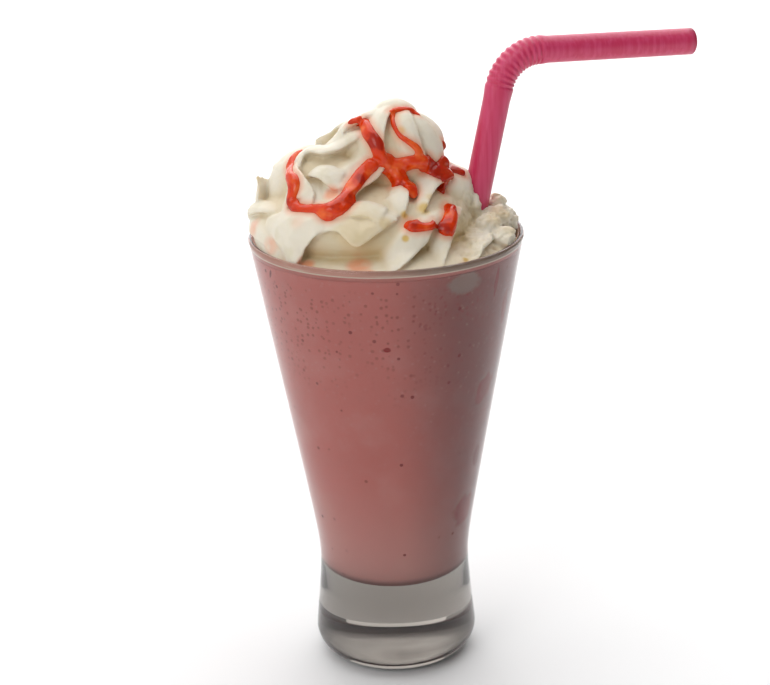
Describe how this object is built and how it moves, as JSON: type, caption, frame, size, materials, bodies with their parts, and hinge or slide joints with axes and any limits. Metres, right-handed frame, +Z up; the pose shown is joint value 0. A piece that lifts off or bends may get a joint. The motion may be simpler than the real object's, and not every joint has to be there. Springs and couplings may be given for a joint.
{
  "type": "milkshake in a glass",
  "caption": "Pink milkshake in a heavy-based conical glass, heaped with piped cream, red syrup and a bent drinking straw.",
  "frame": {"origin": "on the table, at the centre of the flat underside of the glass's foot, on the glass's axis", "axes": "+Z up along the glass's axis; the straw's upper leg points to +X and a little to +Y; -Y is the front of the drink"},
  "size_m": [0.136, 0.082, 0.1918],
  "materials": {
    "glass": "clear, polished, pressed and fire-finished",
    "milkshake": "blended milk drink, wet, with fine bubbles and fruit specks",
    "straw": "satin polypropylene, corrugated at its bend",
    "whipped_cream": "soft cream in piped folds, with glossy red syrup fused to it"
  },
  "bodies": {
    "root": {"glass": "glass", "milkshake": "milkshake", "straw": "straw", "whipped_cream": "whipped_cream"}
  },
  "joints": []
}
